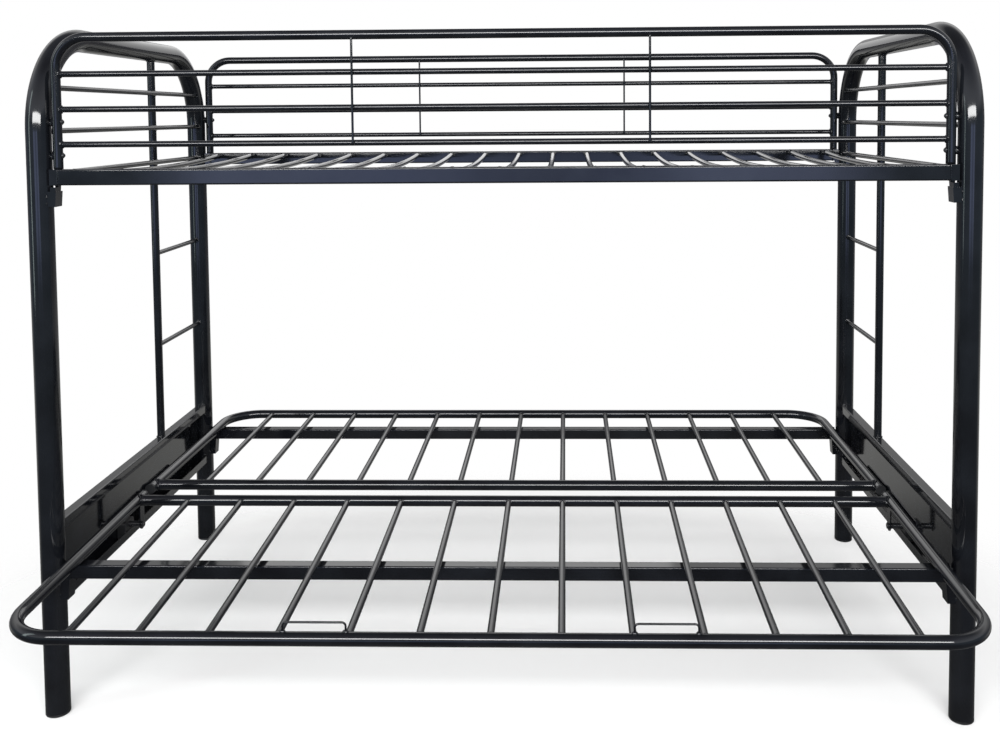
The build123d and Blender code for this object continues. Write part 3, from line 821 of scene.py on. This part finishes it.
def makePanelStitches(side, look):
    # stitches up the web's end, and a bead round the leg at the end of the top flange
    low, high = sizes("end_panel_" + side)
    legX, front, rear, hoopR = ends[side]
    face, lip = (high[0], low[0]) if side == "right" else (low[0], high[0])
    web = face - legX
    reachY = np.sqrt(hoopR ** 2 - web ** 2)
    for legY, way in ((front, 1), (rear, -1)):
        outward = (np.sign(web) + web / hoopR, way * reachY / hoopR, 0)
        y = legY + way * reachY
        for mark, length in look["panelStitches"]:
            z = low[2] + (high[2] - low[2]) * mark
            half = length / 2
            frameWelds.append(lineBead((face, y, z - half), (face, y, z + half), outward, look["size"]))
        flange = np.arcsin((lip - legX) / hoopR), np.arcsin(web / hoopR)
        turn = np.linspace(*flange, look["flangeRows"])
        radial = np.stack([np.sin(turn), way * np.cos(turn), np.zeros_like(turn)], -1)
        curve = np.array([legX, legY, high[2]]) + hoopR * radial
        frameWelds.append(bead(curve, radial + np.array([0, 0, 1.0]), look["size"], closed=False))


for depth in depths:
    makeSocketStitches("upper_rail_" + depth, stitchLook["railGap"], stitchLook)
    makeSocketStitches("lower_stretcher_" + depth, stitchLook["stretcherGap"], stitchLook)
for side in sides:
    makePanelStitches(side, stitchLook)

for body, welds in (("frame", frameWelds), ("seat", seatWelds), ("back", backWelds)):
    meshPiece(body + "Welds", joined(welds), "weld", body)
print("the welds are made:", len(frameWelds) + len(seatWelds) + len(backWelds))


studioLook = {
    "floor": "#f4f4f4",
    "floorInGloss": "#606060",    # darker where the coat mirrors it, so the lower legs stay near black
    "roughness": 0.9,
    "specular": 0.2,
    "halfX": 1.75,
    "halfY": 1.2,
    "fade": 0.5,              # the share of the oval at which the floor starts to clear
}


def makeFloor(look):
    # a pale sheet that fades out over an oval: distance = length of (x / half width, y / half depth)
    hx, hy = look["halfX"], look["halfY"]
    mesh = bpy.data.meshes.new("studioFloor")
    mesh.from_pydata([(-hx, -hy, 0), (hx, -hy, 0), (hx, hy, 0), (-hx, hy, 0)], [], [(0, 1, 2, 3)])
    floor = bpy.data.objects.new("studioFloor", mesh)
    bpy.context.scene.collection.objects.link(floor)
    finish, tree, shader = newFinish("studioFloorPaper")
    rays = addNode(tree, "ShaderNodeLightPath")
    paper = addNode(tree, "ShaderNodeMix",
                    {"A": fromHex(look["floor"]), "B": fromHex(look["floorInGloss"])},
                    {"Factor": rays.outputs["Is Glossy Ray"]}, data_type="RGBA")
    tree.links.new(paper.outputs["Result"], shader.inputs["Base Color"])
    shader.inputs["Roughness"].default_value = look["roughness"]
    shader.inputs["Specular IOR Level"].default_value = look["specular"]
    place = addNode(tree, "ShaderNodeTexCoord").outputs["Object"]
    scaled = addNode(tree, "ShaderNodeVectorMath", {1: (1 / hx, 1 / hy, 0)}, {0: place},
                     operation="MULTIPLY")
    away = addNode(tree, "ShaderNodeVectorMath", links={0: scaled.outputs[0]}, operation="LENGTH")
    gone = addNode(tree, "ShaderNodeMapRange", {"From Min": look["fade"], "From Max": 1.0},
                   {"Value": away.outputs["Value"]}, interpolation_type="SMOOTHSTEP")
    clear = addNode(tree, "ShaderNodeBsdfTransparent")
    mixed = addNode(tree, "ShaderNodeMixShader", links={0: gone.outputs["Result"], 1: shader.outputs[0],
                                                        2: clear.outputs[0]})
    tree.links.new(mixed.outputs[0], tree.nodes["Material Output"].inputs["Surface"])
    mesh.materials.append(finish)


makeFloor(studioLook)

studioWorld = {
    # what a gloss surface sees at each height of its direction, from straight down at -1 to up at 1
    "front": ((-1.0, "#2a2a2a"), (-0.40, "#2e2e30"), (-0.20, "#41494e"), (-0.06, "#4f5b66"),
              (0.05, "#515d67"), (0.14, "#525b60"), (0.30, "#a9adb4"), (0.55, "#9a9ca2"), (0.95, "#4c4c52")),
    "behind": ((-1.0, "#2a2a2a"), (-0.45, "#4c4c4b"), (-0.24, "#8a8a88"), (-0.10, "#565659"),
               (0.06, "#565659"), (0.32, "#8a8a8a"), (0.48, "#b6b6b6"), (0.75, "#454548"), (1.0, "#3a3a3e")),
    # the pale blue windows opposite the bed, by the direction's x, at heights within the band
    "windows": ((-0.38, "#4f5b66"), (-0.33, "#bccbf8"), (-0.16, "#aebef0"), (-0.04, "#8a97bd"),
                (0.06, "#8c9ac4"), (0.14, "#c0d0ff"), (0.24, "#b4c2ee"), (0.30, "#4f5b66")),
    "band": (-0.05, 0.035, 0.10),    # middle, half height that is full, half height where it ends
    "turn": (-0.15, 0.45),    # the direction's y, between which the front gives way to what is behind
    "gain": 2.4,
    "fill": 0.62,             # what lights matt surfaces
}


def tonesAlong(tree, axis, tones):
    # the tone that the table gives where a direction's axis runs from -1 to 1
    share = addNode(tree, "ShaderNodeMapRange", {"From Min": -1.0, "From Max": 1.0}, {"Value": axis})
    ramp = addNode(tree, "ShaderNodeValToRGB", links={"Fac": share.outputs["Result"]})
    stops = ramp.color_ramp.elements
    while len(stops) < len(tones):
        stops.new(0.5)
    for stop, (at, colour) in zip(stops, tones):
        stop.position = (at + 1) / 2
        stop.color = fromHex(colour)
    return ramp.outputs["Color"]


def makeWorld(look):
    # direction z picks a tone in front and one behind, direction y blends the two, and in a low band
    # in front direction x picks the windows' tone
    world = bpy.data.worlds.new("paleStudio")
    bpy.context.scene.world = world
    world.use_nodes = True
    tree = world.node_tree
    tree.nodes.clear()
    way = addNode(tree, "ShaderNodeTexCoord").outputs["Generated"]
    axes = addNode(tree, "ShaderNodeSeparateXYZ", links={"Vector": way})
    front = tonesAlong(tree, axes.outputs["Z"], look["front"])
    behind = tonesAlong(tree, axes.outputs["Z"], look["behind"])
    windows = tonesAlong(tree, axes.outputs["X"], look["windows"])
    middle, full, none = look["band"]
    off = addNode(tree, "ShaderNodeMath", {1: middle}, {0: axes.outputs["Z"]}, operation="SUBTRACT")
    apart = addNode(tree, "ShaderNodeMath", links={0: off.outputs[0]}, operation="ABSOLUTE")
    band = addNode(tree, "ShaderNodeMapRange",
                   {"From Min": full, "From Max": none, "To Min": 1.0, "To Max": 0.0},
                   {"Value": apart.outputs[0]}, interpolation_type="SMOOTHSTEP")
    glazed = addNode(tree, "ShaderNodeMix",
                     links={"Factor": band.outputs["Result"], "A": front, "B": windows}, data_type="RGBA")
    start, end = look["turn"]
    back = addNode(tree, "ShaderNodeMapRange", {"From Min": start, "From Max": end},
                   {"Value": axes.outputs["Y"]}, interpolation_type="SMOOTHSTEP")
    studio = addNode(tree, "ShaderNodeMix",
                     links={"Factor": back.outputs["Result"], "A": glazed.outputs["Result"], "B": behind},
                     data_type="RGBA")
    rays = addNode(tree, "ShaderNodeLightPath")
    white = fromHex("#ffffff")
    glossy = addNode(tree, "ShaderNodeBackground", {"Strength": look["gain"]},
                     {"Color": studio.outputs["Result"]})
    fill = addNode(tree, "ShaderNodeBackground", {"Color": white, "Strength": look["fill"]})
    paper = addNode(tree, "ShaderNodeBackground", {"Color": white, "Strength": 1.0})
    lit = addNode(tree, "ShaderNodeMixShader",
                  links={0: rays.outputs["Is Glossy Ray"], 1: fill.outputs[0], 2: glossy.outputs[0]})
    seen = addNode(tree, "ShaderNodeMixShader",
                   links={0: rays.outputs["Is Camera Ray"], 1: lit.outputs[0], 2: paper.outputs[0]})
    addNode(tree, "ShaderNodeOutputWorld", links={"Surface": seen.outputs[0]})


makeWorld(studioWorld)

lamps = {
    "windowStrip": {"place": (0.0, -3.55, 2.05), "aim": (0, 0, 1.3), "size": (4.8, 0.66), "power": 215,
                    "colour": "#ffffff", "mirrored": True},
    "softboxCeiling": {"place": (0.0, -2.0, 3.6), "aim": (0, 0, 0.8), "size": (3.6, 2.2), "power": 24,
                       "colour": "#ffffff", "mirrored": False},
    "softboxBehind": {"place": (-0.5, 3.6, 2.2), "aim": (0, 0.1, 0.6), "size": (2.6, 1.6), "power": 12,
                      "colour": "#ffffff", "mirrored": True},
    "stripLeft": {"place": (-3.2, -1.6, 1.6), "aim": (-0.6, 0, 0.8), "size": (0.4, 2.4), "power": 13,
                  "colour": "#dff0ee", "mirrored": True},
}


def makeLamp(name, look):
    # a soft area lamp that the camera doesn't see, and that the coat mirrors only where the look says so
    lamp = bpy.data.lights.new(name, "AREA")
    lamp.shape = "RECTANGLE"
    lamp.size, lamp.size_y = look["size"]
    lamp.energy = look["power"]
    lamp.color = fromHex(look["colour"])[:3]
    holder = bpy.data.objects.new(name, lamp)
    bpy.context.scene.collection.objects.link(holder)
    holder.location = look["place"]
    holder.rotation_mode = "QUATERNION"
    sight = Vector(look["aim"]) - Vector(look["place"])
    holder.rotation_quaternion = sight.to_track_quat("-Z", "Y")
    holder.visible_camera = False
    holder.visible_glossy = look["mirrored"]


for name, look in lamps.items():
    makeLamp(name, look)

photoCamera = {
    "place": (0.1356, -2.4904, 1.2786),
    "pan": 1.4544,            # degrees to the left of the +Y direction
    "tilt": -3.285,
    "roll": -0.411,
    "lens": 37.31,
    "sensor": 36,
    "shift": (-0.039, -0.20),
}


def makeCamera(look):
    # turned about its own line of sight, then tilted up from straight down, then panned about z
    data = bpy.data.cameras.new("photoCamera")
    camera = bpy.data.objects.new("photoCamera", data)
    bpy.context.scene.collection.objects.link(camera)
    data.sensor_width = look["sensor"]
    data.lens = look["lens"]
    data.shift_x, data.shift_y = look["shift"]
    pan, tilt, roll = (math.radians(look[name]) for name in ("pan", "tilt", "roll"))
    turn = Matrix.Rotation(pan, 4, "Z") @ Matrix.Rotation(math.pi / 2 + tilt, 4, "X")
    turn = turn @ Matrix.Rotation(roll, 4, "Z")
    camera.matrix_world = Matrix.Translation(look["place"]) @ turn
    bpy.context.scene.camera = camera


makeCamera(photoCamera)
bpy.context.scene.view_settings.view_transform = "Standard"
print("the studio and the camera are set")
